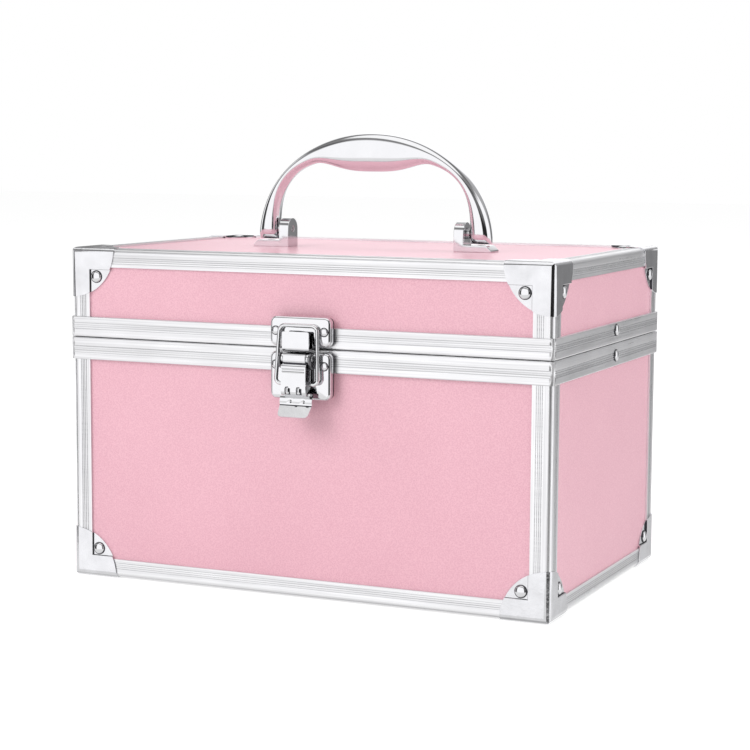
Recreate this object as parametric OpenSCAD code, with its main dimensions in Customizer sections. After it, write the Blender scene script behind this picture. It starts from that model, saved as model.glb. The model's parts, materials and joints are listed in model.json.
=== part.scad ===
// Small cosmetics case: panelled box in an aluminium frame, with a hinged lid,
// a lever latch, folding lid stays and a folding carrying handle.
// Millimetres, +Z up, front towards -Y. Origin: middle of the closed case's footprint on the floor,
// latch and hinges included.

/* [Case] */
// Width across the outer faces of the side panels
case_w = 247.7; // [200:0.1:320]
// Depth across the outer faces of the front and back panels
case_d = 159; // [120:0.5:220]
// Height of the closed case over its corner caps
case_h = 163.5; // [140:0.5:220]
// Height of the parting line above the floor
parting_z = 119.45; // [95:0.05:125]
// Gap between the closed rims
parting_gap = 0.3; // [0.2:0.05:0.6]
// Thickness of the covered board panels
panel_t = 3.6; // [3:0.1:5]
// Thickness of the lining
lining_t = 0.8; // [0.5:0.1:1.5]

/* [Edge rails] */
// Wall thickness of the aluminium angle
rail_t = 0.9; // [0.7:0.1:1.5]
// Width of the horizontal rails' legs
rail_leg = 9; // [8:0.25:12]
// Width of the upright posts' legs
post_leg = 9.75; // [8:0.25:12]
// Outside radius of the rails' edge
edge_r = 2.5; // [1.5:0.1:3]
// Bevel on the boards' outer edges, inside the rails
board_bevel = 1.2; // [0.9:0.1:1.6]
// Depth of the fine grooves along the rails
groove_depth = 0.2; // [0.1:0.05:0.3]
// Width of each groove
groove_w = 0.4; // [0.3:0.05:0.6]
// Distance from one groove to the next
groove_pitch = 0.95; // [0.8:0.05:1.2]
// Grooves side by side
grooves = 4; // [2:1:4]

/* [Rims] */
// How far the rims stand out from the panels
rim_t = 1.8; // [1.4:0.1:3]
// Height of the body's rim
body_rim_h = 10.9; // [9:0.1:14]
// Height of the lid's rim
lid_rim_h = 9.9; // [9:0.1:14]
// Thickness of the rim's web and inner leg
rim_wall = 0.9; // [0.7:0.1:1.4]
// Height of the tongue that stands in the lid's channel
tongue_h = 2; // [1:0.1:2.5]
// Thickness of the tongue
tongue_t = 1.2; // [0.8:0.1:1.6]
// Depth of the channel under the lid's rim
channel_h = 2.6; // [2:0.1:4]

/* [Corner caps] */
// Sheet thickness of a corner cap
cap_t = 0.6; // [0.4:0.1:1]
// Reach of a cap from the case's corner
cap_r = 23.8; // [20:0.2:30]
// Clearance between a cap's step and the rails' legs under its band
cap_gap = 0.05; // [0.02:0.01:0.2]
// Thickness of the step from a cap's band to its plate
cap_step = 0.5; // [0.4:0.05:1]
// Radius of a cap rivet's head
cap_rivet_r = 3.1; // [2:0.1:3.6]
// Distance of a cap rivet's head from the raised band
cap_rivet_gap = 0.3; // [0.1:0.1:1]
// Height of a cap rivet's dome
cap_rivet_h = 1.4; // [0.8:0.1:2]

/* [Rivets] */
// Radius of the rivet shanks in the panels
shank_r = 1.2; // [1:0.1:1.5]
// Clearance round a shank in its hole
shank_gap = 0.05; // [0.02:0.01:0.1]
// Height of the low heads under the case and on the plates
low_head_h = 0.8; // [0.5:0.1:0.85]

/* [Latch] */
// Sideways place of the latch
latch_x = 2.7; // [-10:0.1:10]
// Width of the latch's plates
latch_w = 31.2; // [30.6:0.1:34]
// Height of the keeper plate on the lid
keeper_h = 14; // [12:0.1:16]
// Height of the base plate on the body
base_h = 22.3; // [21:0.1:26]
// Distance of either plate from the parting line
latch_gap = 1.25; // [1:0.05:2]
// How far the plates stand out from the rims
plate_out = 5; // [3.6:0.1:6]
// Sheet thickness of the latch
latch_sheet = 0.9; // [0.7:0.1:1.2]
// Width of the keeper's hook
hook_w = 14.8; // [12:0.1:16]
// How far the hook stands out from the keeper plate
hook_out = 3.8; // [3:0.1:5]
// Height of the hook
hook_h = 9; // [7:0.1:9.4]
// Height of the lever's pivot below the parting line
latch_pivot_drop = 3.75; // [3.7:0.05:5]
// How far the lever's pivot stands out from the base plate
latch_pivot_out = 4; // [3.5:0.1:5]
// Outer radius of the lever's rolled barrel
barrel_r = 2.1; // [1.8:0.1:2.5]
// Radius of the latch pin
latch_pin_r = 0.85; // [0.7:0.05:1]
// Width of the lever
lever_w = 12.7; // [11:0.1:13]
// Greatest width of the lever's finger tab
tab_w = 16.6; // [15:0.1:17]
// Radius of the bail's wire
wire_r = 0.95; // [0.7:0.05:1.1]
// Half width of the bail at its pivot, to the wire's middle
bail_low_x = 10.7; // [10.4:0.1:12]
// Half width of the bail at its top, to the wire's middle
bail_top_x = 9.6; // [9:0.1:9.8]
// Clearance of the closed bail in front of the keeper plate
bail_gap = 0.35; // [0.3:0.05:0.6]

/* [Handle] */
// Sideways place of the handle
handle_x = 1.2; // [-10:0.1:10]
// Half width of the bow at its feet, to the outer face
bow_half_w = 63.4; // [60:0.1:80]
// Half width of the bow's opening at its feet
bow_inner_w = 52.5; // [50:0.5:53]
// Rise of the bow's outer face above its springing
bow_rise = 54; // [50:0.1:60]
// Rise of the bow's opening above its springing
bow_inner_rise = 40.7; // [36:0.1:42]
// Depth of the grip's swell on the underside
swell = 5.7; // [0:0.1:7]
// Half length of the grip's swell
swell_half = 32; // [28:1:38]
// Width of the bow at its feet, front to back
bow_foot_d = 9.8; // [8:0.1:10.4]
// Width of the bow at the grip, front to back
bow_grip_d = 15; // [10:0.2:16]
// Height of the handle's pivot above the top panel
handle_pivot_h = 9; // [8.8:0.1:12]
// Radius of the bow's rounded feet about the pivot
bow_foot_r = 5.2; // [5.2:0.1:5.4]
// Radius of the handle's pivot pins
handle_pin_r = 1.5; // [1.2:0.1:2]
// Gap between a bracket's post and the bow
post_gap = 2.1; // [1:0.1:3]
// Thickness of a bracket's post
post_t = 5.2; // [4:0.1:6]
// Radius of a post's rounded top, and half its depth
post_r = 5.5; // [5.5:0.1:6.5]
// Thickness of a bracket's foot
foot_t = 3.4; // [3:0.1:3.5]
// How far a foot reaches past the bow's outer face
foot_past = 1.4; // [1:0.1:6]

/* [Hinges] */
// Distance of each hinge from the middle of the case
hinge_x = 75; // [50:1:100]
// Length of a hinge
hinge_l = 28; // [20:1:40]
// Leaf thickness
leaf_t = 1; // [0.8:0.1:1.5]
// Height of each leaf
leaf_h = 8.6; // [7.5:0.1:9]
// Outer radius of the knuckles
knuckle_r = 2.1; // [1.8:0.1:2.5]
// Radius of the hinge pin
hinge_pin_r = 0.95; // [0.8:0.05:1.2]
// Gap between the knuckles and the rims
hinge_gap = 0.45; // [0.4:0.05:0.8]

/* [Lid stays] */
// Height of the body's stay rivet below the parting line
stay_drop = 5.85; // [5.5:0.05:6]
// Distance of the folded stays' ends from the front rim, inside
stay_front_gap = 5.4; // [1:0.1:30]
// Thickness of a stay link
link_t = 1.2; // [1:0.1:1.5]
// Width of a stay link
link_w = 8; // [7:0.1:9]
// Radius of the stay rivets' shanks
stay_pin_r = 1.5; // [1.2:0.1:1.8]
// Clearance between the links and what lies beside them
link_gap = 0.3; // [0.25:0.05:0.5]

/* [Mirror] */
// Width of the mirror under the lid
mirror_w = 150; // [100:1:180]
// Depth of the mirror
mirror_d = 100; // [70:1:120]
// Thickness of the mirror
mirror_t = 2; // [1.5:0.1:3]

/* [Hidden] */
$fn = 48;

pink = "#eab4c4";
silver = "#dfe0e2";
bright = "#c9ccd0";
grey = "#8d8f94";

side_x = case_w / 2;
front_y = case_d / 2;
floor_gap = cap_t;
frame_z0 = floor_gap;
frame_z1 = case_h - cap_t;
board_z0 = frame_z0 + rail_t;
board_z1 = frame_z1 - rail_t;
frame_x = side_x + rail_t;
frame_y = front_y + rail_t;
body_rim_z1 = parting_z - parting_gap / 2;
body_rim_z0 = body_rim_z1 - body_rim_h;
lid_rim_z0 = parting_z + parting_gap / 2;
lid_rim_z1 = lid_rim_z0 + lid_rim_h;
wall_z0 = board_z0 + panel_t;
wall_z1 = board_z1 - panel_t;
body_wall_top = body_rim_z1 - rim_wall;
lid_wall_low = lid_rim_z0 + channel_h + rim_wall;
rim_leg_h = body_rim_h - 2.4;
big = 400;
eps = 0.1;
cap_inside = max(post_leg, rail_leg) + cap_gap;
cap_band = cap_inside + cap_step;
cap_rivet_in = cap_band + cap_rivet_r + cap_rivet_gap;

hinge_y = front_y + rim_t + hinge_gap + knuckle_r;
handle_pivot_z = board_z1 + handle_pivot_h;
plate_u = rim_t + plate_out;
latch_pivot_u = plate_u + latch_pivot_out;
latch_pivot_z = parting_z - latch_pivot_drop;
lever_face_u = latch_pivot_u + 3.1;
// The latch stands out further than the hinges, so the case sits back from the origin by half of that
sit_back = (lever_face_u + latch_sheet / 2 - rim_t - hinge_gap - 2 * knuckle_r) / 2;
keeper_z0 = parting_z + latch_gap;
base_z1 = parting_z - latch_gap;
hook_u = plate_u + hook_out;
hook_z1 = keeper_z0 - 1.8 + hook_h;
bail_low = [latch_pivot_u - 0.8, latch_pivot_z - 12];
bail_top = [plate_u + bail_gap + wire_r, hook_z1 + 1.8 + wire_r];
latch_rivet_x = latch_w / 2 - 3.1;
keeper_rivet_z = keeper_z0 + 7.2;
base_rivet_z = base_z1 - 6.2;

// Four pivots form a rhombus: the links' middle rivet lies as far before the stay rivets as the hinge lies behind
stay_back = (hinge_y + front_y - panel_t - rim_wall - stay_front_gap - link_w / 2) / 2;
stay_len = norm([stay_back, stay_drop]);
stay_low = [hinge_y - stay_back, parting_z - stay_drop];
stay_rise = lid_rim_z0 + lid_rim_h / 2 - parting_z + 1.4;
stay_top = [hinge_y - sqrt(stay_len * stay_len - stay_rise * stay_rise), parting_z + stay_rise];
stay_mid = [stay_low[0] + stay_top[0] - hinge_y, stay_low[1] + stay_top[1] - parting_z];
low_link_u = panel_t + rim_wall + link_gap;
top_link_u = low_link_u + link_t + link_gap;
mirror_z1 = wall_z1 - lining_t;

// ---- helpers ----

module centred() {
    translate([0, sit_back, 0]) children();
}

// Places its child at a case corner, with x, y and z running inwards from the frame's outer planes
module at_corner(sx, sy, top) {
    translate([sx * frame_x, sy * frame_y, top ? frame_z1 : frame_z0])
        mirror([sx > 0 ? 1 : 0, 0, 0]) mirror([0, sy > 0 ? 1 : 0, 0]) mirror([0, 0, top ? 1 : 0]) children();
}

// Turns a child drawn in (outward, up) and extruded along its length to face one of the four sides
module facing(side) {
    if (side == "front") translate([0, -front_y, 0]) rotate([90, 0, -90]) children();
    if (side == "back") translate([0, front_y, 0]) rotate([90, 0, 90]) children();
    if (side == "left") translate([-side_x, 0, 0]) rotate([90, 0, 180]) children();
    if (side == "right") translate([side_x, 0, 0]) rotate([90, 0, 0]) children();
}

// A child drawn with +Z outward is set on the front face at x, z and a distance out from the panel
module on_front(x, z, out) {
    translate([x, -front_y - out, z]) rotate([90, 0, 0]) children();
}

module on_back(x, z, out) {
    translate([x, front_y + out, z]) rotate([-90, 0, 0]) children();
}

module on_side(s, y, z, out) {
    translate([s * (side_x + out), y, z]) rotate([0, s * 90, 0]) children();
}

module rounded_rect(w, h, r) {
    difference() {
        square([w, h], center = true);
        for (sx = [-1, 1], sy = [-1, 1])
            translate([sx * w / 2, sy * h / 2]) rotate((sx > 0 ? (sy > 0 ? 180 : 90) : (sy > 0 ? 270 : 0)))
                outer_corner(r);
    }
}

// What a fillet of radius r takes off a corner at the origin
module outer_corner(r) {
    difference() {
        translate([-1, -1]) square(r + 1);
        translate([r, r]) circle(r);
    }
}

module bevelled_rect(w, h, c) {
    polygon([
        [c - w / 2, -h / 2], [w / 2 - c, -h / 2], [w / 2, c - h / 2], [w / 2, h / 2 - c],
        [w / 2 - c, h / 2], [c - w / 2, h / 2], [-w / 2, h / 2 - c], [-w / 2, c - h / 2]
    ]);
}

// Domed head on z = 0 with a shank below it
module rivet(head_r, head_h, r, depth) {
    ball = (head_r * head_r + head_h * head_h) / (2 * head_h);
    intersection() {
        translate([0, 0, head_h - ball]) sphere(ball);
        cylinder(r = head_r + 1, h = head_h + 1);
    }
    translate([0, 0, -depth]) cylinder(r = r, h = depth);
}

module bar(r, l) {
    rotate([0, 90, 0]) cylinder(r = r, h = l, center = true);
}

// ---- panels ----

// The boards' outer envelope, bevelled along its twelve edges
module envelope() {
    h = board_z1 - board_z0;
    translate([0, 0, (board_z0 + board_z1) / 2]) intersection() {
        linear_extrude(h + 2, center = true) bevelled_rect(case_w, case_d, board_bevel);
        rotate([90, 0, 0]) linear_extrude(big, center = true) bevelled_rect(case_w, h, board_bevel);
        rotate([90, 0, 90]) linear_extrude(big, center = true) bevelled_rect(case_d, h, board_bevel);
    }
}

module wall_front(z0, z1, sy) {
    intersection() {
        envelope();
        translate([-side_x - 1, sy > 0 ? front_y - panel_t : -front_y - 1, z0])
            cube([case_w + 2, panel_t + 1, z1 - z0]);
    }
}

module wall_side(z0, z1, sx) {
    translate([sx > 0 ? side_x - panel_t : -side_x, panel_t - front_y, z0])
        cube([panel_t, case_d - 2 * panel_t, z1 - z0]);
}

module flat_board(z0) {
    intersection() {
        envelope();
        translate([-side_x - 1, -front_y - 1, z0 > parting_z ? z0 : z0 - 1])
            cube([case_w + 2, case_d + 2, panel_t + 1]);
    }
}

module front_holes() {
    for (sx = [-1, 1], top = [false, true])
        translate([sx * (frame_x - cap_rivet_in), -front_y, cap_rivet_z(top)])
            rotate([90, 0, 0]) cylinder(r = shank_r + shank_gap, h = 2 * panel_t + 2, center = true);
    for (s = [-1, 1], z = [keeper_rivet_z, base_rivet_z])
        on_front(latch_x + s * latch_rivet_x, z, 0)
            cylinder(r = shank_r + shank_gap, h = 2 * (panel_t + rim_t), center = true);
}

module back_holes() {
    for (sx = [-1, 1], top = [false, true])
        translate([sx * (frame_x - cap_rivet_in), front_y, cap_rivet_z(top)])
            rotate([90, 0, 0]) cylinder(r = shank_r + shank_gap, h = 2 * panel_t + 2, center = true);
    hinge_rivet_places() cylinder(r = shank_r + shank_gap, h = 2 * (panel_t + rim_t + leaf_t), center = true);
}

module side_holes() {
    for (sx = [-1, 1], sy = [-1, 1], top = [false, true])
        translate([sx * side_x, sy * (frame_y - cap_rivet_in), cap_rivet_z(top)])
            rotate([0, 90, 0]) cylinder(r = shank_r + shank_gap, h = 2 * panel_t + 2, center = true);
    for (s = [-1, 1], p = [stay_low, stay_top])
        on_side(s, p[0], p[1], 0) cylinder(r = stay_pin_r + shank_gap, h = 20, center = true);
}

module flat_holes() {
    for (sx = [-1, 1], sy = [-1, 1], z = [board_z0, board_z1])
        translate([sx * (frame_x - cap_rivet_in), sy * (frame_y - cap_rivet_in), z])
            cylinder(r = shank_r + shank_gap, h = 2 * panel_t + 2, center = true);
    for (s = [-1, 1])
        translate([handle_x + s * screw_x, 0, board_z1])
            cylinder(r = shank_r + shank_gap, h = 2 * panel_t + 2, center = true);
}

function cap_rivet_z(top) = top ? frame_z1 - cap_rivet_in : frame_z0 + cap_rivet_in;

module body_front_panel() {
    color(pink) centred() difference() {
        wall_front(wall_z0, body_wall_top, -1);
        front_holes();
    }
}

module body_back_panel() {
    color(pink) centred() difference() {
        wall_front(wall_z0, body_wall_top, 1);
        back_holes();
    }
}

module body_left_panel() {
    color(pink) centred() difference() {
        wall_side(wall_z0, body_wall_top, -1);
        side_holes();
    }
}

module body_right_panel() {
    color(pink) centred() difference() {
        wall_side(wall_z0, body_wall_top, 1);
        side_holes();
    }
}

module body_bottom_panel() {
    color(pink) centred() difference() {
        flat_board(board_z0);
        flat_holes();
    }
}

module lid_front_panel() {
    color(pink) centred() difference() {
        wall_front(lid_wall_low, wall_z1, -1);
        front_holes();
    }
}

module lid_back_panel() {
    color(pink) centred() difference() {
        wall_front(lid_wall_low, wall_z1, 1);
        back_holes();
    }
}

module lid_left_panel() {
    color(pink) centred() difference() {
        wall_side(lid_wall_low, wall_z1, -1);
        side_holes();
    }
}

module lid_right_panel() {
    color(pink) centred() difference() {
        wall_side(lid_wall_low, wall_z1, 1);
        side_holes();
    }
}

module lid_top_panel() {
    color(pink) centred() difference() {
        flat_board(wall_z1);
        flat_holes();
    }
}

// ---- edge rails and posts ----

// Section of the aluminium angle: legs along +X and +Y from the outside edge at the origin
module angle_section(leg_a, leg_b) {
    inner = rail_t + board_bevel;
    difference() {
        polygon([[0, 0], [leg_a, 0], [leg_a, rail_t], [inner, rail_t], [rail_t, inner], [rail_t, leg_b], [0, leg_b]]);
        outer_corner(edge_r);
        rail_grooves(leg_a);
        mirror([1, -1]) rail_grooves(leg_b);
    }
}

module rail_grooves(leg) {
    band = (grooves - 1) * groove_pitch + groove_w;
    start = edge_r + (leg - edge_r - band) / 2;
    for (i = [0 : grooves - 1])
        translate([start + i * groove_pitch, -1]) square([groove_w, 1 + groove_depth]);
}

// Long wedge that a mitred rail fills: along X from 0 to l, bounded at 45 degrees at both ends
module mitre_wedge(l, reach) {
    intersection() {
        rotate([90, 0, 0]) linear_extrude(big, center = true)
            polygon([[0, 0], [l, 0], [l - reach, reach], [reach, reach]]);
        linear_extrude(big, center = true) polygon([[0, 0], [l, 0], [l - reach, reach], [reach, reach]]);
    }
}

module mitred_rail(l) {
    intersection() {
        rotate([90, 0, 90]) linear_extrude(l) angle_section(rail_leg, rail_leg);
        mitre_wedge(l, post_leg + 1);
    }
}

module rail_x(sy, top) {
    color(silver) centred() at_corner(-1, sy, top) mitred_rail(2 * frame_x);
}

module rail_y(sx, top) {
    color(silver) centred() at_corner(sx, -1, top) mirror([1, -1, 0]) mitred_rail(2 * frame_y);
}

// Upright post from a case corner to a rim, mitred to the rails at the corner
module post(l) {
    reach = post_leg + 1;
    wedge = [[0, 0], [reach, reach], [reach, l], [0, l]];
    intersection() {
        linear_extrude(l) angle_section(post_leg, post_leg);
        rotate([90, 0, 0]) linear_extrude(big, center = true) polygon(wedge);
        rotate([90, 0, 90]) linear_extrude(big, center = true) polygon(wedge);
    }
}

module body_posts() {
    color(silver) centred() for (sx = [-1, 1], sy = [-1, 1]) at_corner(sx, sy, false) post(body_rim_z0 - frame_z0);
}

module lid_posts() {
    color(silver) centred() for (sx = [-1, 1], sy = [-1, 1]) at_corner(sx, sy, true) post(frame_z1 - lid_rim_z1);
}

// ---- rims ----

// Outer face of a rim: plain lip, grooved band, plain bulge towards the parting line at y = h
module rim_face(h) {
    lip = 0.27 * h;
    band = 0.38 * h;
    rib = band / grooves;
    difference() {
        square([rim_t, h]);
        for (i = [0 : grooves - 1])
            translate([rim_t - groove_depth, lip + (i + 0.25) * rib]) square([1, rib / 2]);
        translate([rim_t, h]) rotate(180) outer_corner(0.7);
        translate([rim_t, 0]) rotate(90) outer_corner(0.5);
    }
}

// Section of the body's rim: x outward from the panel, y up from the rim's lower edge
module body_rim_section() {
    rim_face(body_rim_h);
    translate([-panel_t - rim_wall, body_rim_h - rim_wall]) square([panel_t + rim_wall + eps, rim_wall]);
    translate([-panel_t - rim_wall, body_rim_h - rim_leg_h]) square([rim_wall, rim_leg_h]);
    translate([-(panel_t + tongue_t) / 2, body_rim_h - eps]) square([tongue_t, tongue_h + eps]);
}

// Section of the lid's rim: y up from the parting line
module lid_rim_section() {
    translate([0, lid_rim_h]) mirror([0, 1]) rim_face(lid_rim_h);
    translate([-panel_t - rim_wall, channel_h]) square([panel_t + rim_wall + eps, rim_wall]);
    translate([-panel_t - rim_wall, 0]) square([rim_wall, lid_rim_h - 2.4]);
}

// One mitred length of rim for a side, cut from its extruded section
module rim_length(side) {
    along_x = side == "front" || side == "back";
    half = (along_x ? side_x : front_y) + rim_t;
    deep = rim_t + panel_t + rim_wall + 1;
    intersection() {
        facing(side) linear_extrude(2 * half, center = true) children();
        linear_extrude(big) rounded_rect(case_w + 2 * rim_t, case_d + 2 * rim_t, edge_r);
        rotate(side == "front" ? 0 : side == "right" ? 90 : side == "back" ? 180 : 270)
            linear_extrude(big) translate([0, -(along_x ? front_y : side_x) - rim_t])
                polygon([[-half, 0], [half, 0], [half - deep, deep], [deep - half, deep]]);
    }
}

module body_rim(side) {
    color(silver) centred() difference() {
        rim_length(side) translate([0, body_rim_z0]) body_rim_section();
        rim_holes(side);
    }
}

module lid_rim(side) {
    color(silver) centred() difference() {
        rim_length(side) translate([0, lid_rim_z0]) lid_rim_section();
        rim_holes(side);
    }
}

module rim_holes(side) {
    if (side == "front") front_holes();
    if (side == "back") back_holes();
    if (side == "left" || side == "right") side_holes();
}

// ---- linings ----

module lining_block(z0, z1, inset) {
    translate([0, 0, (z0 + z1) / 2])
        cube([case_w - 2 * panel_t - 2 * inset, case_d - 2 * panel_t - 2 * inset, z1 - z0], center = true);
}

module body_lining() {
    top = body_rim_z1 - rim_leg_h;
    color(grey) centred() difference() {
        lining_block(wall_z0, top, 0);
        lining_block(wall_z0 + lining_t, top + 1, lining_t);
    }
}

module lid_lining() {
    low = lid_rim_z0 + lid_rim_h - 2.4;
    color(grey) centred() difference() {
        lining_block(low, wall_z1, 0);
        lining_block(low - 1, wall_z1 - lining_t, lining_t);
        side_holes();
    }
}

// ---- corner caps ----

// Pressed cap at a corner whose frame planes are x = y = z = 0, reaching inwards
module cap_shell() {
    recess = rail_t - cap_t;
    difference() {
        intersection() {
            sphere(cap_r, $fn = 96);
            rounded_block(-cap_t, edge_r + cap_t);
        }
        intersection() {
            rounded_block(0, edge_r);
            union() {
                translate([rail_t, rail_t, rail_t]) cube(cap_r);
                for (k = [0 : 2]) turned(k) cube([cap_r, cap_inside, cap_inside]);
            }
        }
        for (k = [0 : 2]) turned(k) {
            translate([cap_band, cap_band, -2]) cube([cap_r, cap_r, 2 + recess]);
            translate([cap_rivet_in, cap_rivet_in, -2]) cylinder(r = shank_r + shank_gap, h = 6);
        }
    }
}

// Octant inwards of a corner at off on all three axes, its outer edges rounded
module rounded_block(off, r) {
    translate([off, off, off]) intersection() {
        turned(0) linear_extrude(cap_r + 5) rounded_quadrant(r);
        turned(1) linear_extrude(cap_r + 5) rounded_quadrant(r);
        turned(2) linear_extrude(cap_r + 5) rounded_quadrant(r);
    }
}

module rounded_quadrant(r) {
    difference() {
        square(cap_r + 5);
        outer_corner(r);
    }
}

// Cyclic exchange of the axes: 0 leaves z as the third axis, 1 makes it x, 2 makes it y
module turned(k) {
    if (k == 0) children();
    if (k == 1) rotate([90, 0, 90]) children();
    if (k == 2) rotate([0, -90, -90]) children();
}

module cap(sx, sy, top) {
    color(bright) centred() at_corner(sx, sy, top) cap_shell();
}

module cap_rivets(top) {
    recess = rail_t - cap_t;
    for (sx = [-1, 1], sy = [-1, 1]) at_corner(sx, sy, top) for (k = [0 : 2])
        turned(k) translate([cap_rivet_in, cap_rivet_in, recess]) mirror([0, 0, 1])
            rivet(cap_rivet_r, k == 0 ? low_head_h : cap_rivet_h, shank_r, cap_t + panel_t - 0.4);
}

module body_rivets() {
    color(bright) centred() {
        cap_rivets(false);
        latch_rivets(base_rivet_z);
        hinge_rivets(-1);
        stay_rivets(stay_low, low_link_u);
    }
}

module lid_rivets() {
    color(bright) centred() {
        cap_rivets(true);
        latch_rivets(keeper_rivet_z);
        hinge_rivets(1);
        stay_rivets(stay_top, top_link_u);
        for (s = [-1, 1]) on_side(s, stay_top[0], stay_top[1], -panel_t - rim_wall) stay_washer();
    }
}

// ---- latch ----

module latch_rivets(z) {
    for (s = [-1, 1]) on_front(latch_x + s * latch_rivet_x, z, plate_u)
        rivet(2.2, low_head_h, shank_r, plate_u + panel_t - 0.4);
}

// Pressed plate: a shallow pan, open at the back, with a bevelled edge and a flat front
module pressed_plate(z0, h) {
    r = 3;
    bevel = 0.9;
    on_front(latch_x, z0 + h / 2, rim_t) difference() {
        hull() {
            linear_extrude(plate_out - bevel) rounded_rect(latch_w, h, r);
            linear_extrude(plate_out) rounded_rect(latch_w - 2 * bevel, h - 2 * bevel, r - bevel);
        }
        translate([0, 0, -1]) linear_extrude(plate_out - latch_sheet + 1)
            rounded_rect(latch_w - 2 * latch_sheet, h - 2 * latch_sheet, r - latch_sheet);
    }
}

// A side view drawn in (out from the panel, height) and extruded across the latch
module across(w) {
    translate([latch_x, -front_y, 0]) rotate([90, 0, -90]) linear_extrude(w, center = true) children();
}

module latch_keeper() {
    hook_z0 = hook_z1 - hook_h;
    color(bright) centred() difference() {
        union() {
            pressed_plate(keeper_z0, keeper_h);
            across(hook_w) hook_section(hook_z0);
        }
        for (s = [-1, 1]) on_front(latch_x + s * latch_rivet_x, keeper_rivet_z, plate_u)
            cylinder(r = shank_r + shank_gap, h = 3, center = true);
    }
}

// The hook: a strip bent out from the plate's lower edge and up, with a rounded fold and tip
module hook_section(z0) {
    t = latch_sheet;
    difference() {
        union() {
            translate([plate_u - t, z0]) square([hook_out + t, t]);
            translate([hook_u - t, z0]) square([t, hook_h]);
            translate([plate_u - t, z0]) square([t, keeper_z0 - z0 + 2]);
        }
        translate([hook_u, z0]) rotate(90) outer_corner(t * 0.8);
        translate([hook_u, hook_z1]) rotate(180) outer_corner(t * 0.5);
    }
}

barrel_half = lever_w / 2 + 0.75;
ear_x = barrel_half + 0.2;

module latch_base_plate() {
    color(bright) centred() difference() {
        union() {
            pressed_plate(base_z1 - base_h, base_h);
            for (s = [-1, 1]) translate([s * (ear_x + latch_sheet / 2), 0, 0]) across(latch_sheet) ear_section();
        }
        for (s = [-1, 1]) on_front(latch_x + s * latch_rivet_x, base_rivet_z, plate_u)
            cylinder(r = shank_r + shank_gap, h = 3, center = true);
        translate([latch_x, -front_y - latch_pivot_u, latch_pivot_z]) bar(latch_pin_r + 0.03, 30);
    }
}

module ear_section() {
    translate([latch_pivot_u, latch_pivot_z]) circle(barrel_r + 0.5);
    translate([plate_u - latch_sheet / 2, latch_pivot_z - 5])
        square([latch_pivot_out + latch_sheet / 2, 5 + barrel_r + 0.5]);
}

module latch_pin() {
    reach = ear_x + latch_sheet + 0.1;
    color(bright) centred() translate([latch_x, -front_y - latch_pivot_u, latch_pivot_z]) {
        bar(latch_pin_r, 2 * reach + 0.6);
        for (s = [-1, 1]) translate([s * (reach + 0.25), 0, 0]) bar(latch_pin_r + 0.5, 0.5);
    }
}

// Offset of point i of a path, a distance d to its left
function path_dir(p, i) = let (a = p[max(i - 1, 0)], b = p[min(i + 1, len(p) - 1)]) (b - a) / norm(b - a);
function path_side(p, d) = [for (i = [0 : len(p) - 1]) let (v = path_dir(p, i)) p[i] + d * [-v[1], v[0]]];
function reversed(p) = [for (i = [len(p) - 1 : -1 : 0]) p[i]];
// Closed outline of a bent strip of thickness t along a path
function strip(p, t) = concat(path_side(p, t / 2), reversed(path_side(p, -t / 2)));
// Points of an arc about c from angle a0 to a1
function arc(c, r, a0, a1, n) = [for (i = [0 : n]) let (a = a0 + (a1 - a0) * i / n) c + r * [cos(a), sin(a)]];

lever_top = latch_pivot_z - 3;
lever_low = latch_pivot_z - 17;
lever_face = concat(
    [[latch_pivot_u + 0.6, latch_pivot_z - barrel_r + 0.4], [latch_pivot_u + 1.2, lever_top + 0.6]],
    arc([lever_face_u - 1.2, lever_top - 1.2], 1.2, 90, 0, 4),
    arc([lever_face_u - 2, lever_low + 1.5], 2, 0, -60, 4),
    arc([lever_face_u - 3, lever_low - 2.2], 1.2, 115, 225, 6),
    [[lever_face_u - 3.15, lever_low - 3.7], [lever_face_u - 3.6, lever_low - 9]]
);
tab_top_w = 14.3;

module latch_lever() {
    flange_x = lever_w / 2 - latch_sheet / 2;
    tab_path = [for (i = [11 : len(lever_face) - 1]) lever_face[i]];
    color(bright) centred() difference() {
        union() {
            across(lever_w) polygon(strip(lever_face, latch_sheet));
            intersection() {
                across(tab_w) polygon(strip(tab_path, latch_sheet));
                tab_outline();
            }
            for (s = [-1, 1]) translate([s * flange_x, 0, 0]) across(latch_sheet) flange_section();
            translate([latch_x, -front_y - latch_pivot_u, latch_pivot_z]) bar(barrel_r, 2 * barrel_half);
        }
        translate([latch_x, -front_y - latch_pivot_u, latch_pivot_z]) bar(latch_pin_r + 0.05, 40);
        translate([latch_x, -front_y - bail_low[0], bail_low[1]]) bar(wire_r + 0.05, 40);
        lever_louvres();
    }
}

// Two slots near the lower end of the lever's face
module lever_louvres() {
    for (s = [-1, 1]) on_front(latch_x + s * 2.9, lever_low + 2.6, lever_face_u)
        cube([2.2, 3, 4], center = true);
}

// The tab from the front: flared below the lever, with rounded lower corners
module tab_outline() {
    h = 9.5;
    translate([latch_x, -front_y - lever_face_u, lever_low - h]) rotate([90, 0, 0]) linear_extrude(20, center = true)
        difference() {
            polygon([[-tab_w / 2 + 0.5, 0], [tab_w / 2 - 0.5, 0], [tab_w / 2, 5.8], [tab_top_w / 2, 10], [-tab_top_w / 2, 10],
                [-tab_w / 2, 5.8]]);
            for (s = [0, 1]) mirror([s, 0]) translate([0.5 - tab_w / 2, 0]) outer_corner(2.2);
        }
}

module flange_section() {
    back = plate_u + 1.2;
    polygon([
        [lever_face_u, lever_top - 1.5], [lever_face_u - 1, lever_top], [back + 1, lever_top], [back, lever_top - 1],
        [back, bail_low[1] - 1.6], [back + 1, bail_low[1] - 2.6], [lever_face_u - 1, lever_low + 1],
        [lever_face_u, lever_low + 1.5]
    ]);
}

// ---- bail ----

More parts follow.
